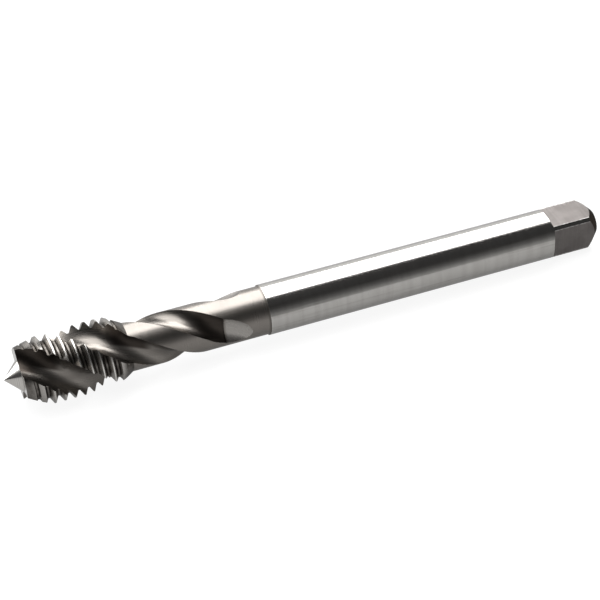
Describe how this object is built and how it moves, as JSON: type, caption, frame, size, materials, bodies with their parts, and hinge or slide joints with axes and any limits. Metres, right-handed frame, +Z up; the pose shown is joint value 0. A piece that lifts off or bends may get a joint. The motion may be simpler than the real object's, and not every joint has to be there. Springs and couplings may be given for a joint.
{
  "type": "thread tap",
  "caption": "Spiral-flute machine tap that cuts a metric internal thread: threaded flutes at the tip, a plain round shank and a driving square.",
  "frame": {"origin": "middle of the box's base, on the surface that the tap lies on", "axes": "+X from the tip to the driving square, falling about one degree to the thinner end; +Z up; +Y to the left of the tap seen from its tip end looking along +X"},
  "size_m": [0.11, 0.012, 0.0122],
  "materials": {
    "tool_steel": "ground high-speed steel, bright and finely ground on the shank, darker and browner on the fluted part and the square"
  },
  "bodies": {
    "root": {"thread_tap": "tool_steel"}
  },
  "joints": []
}
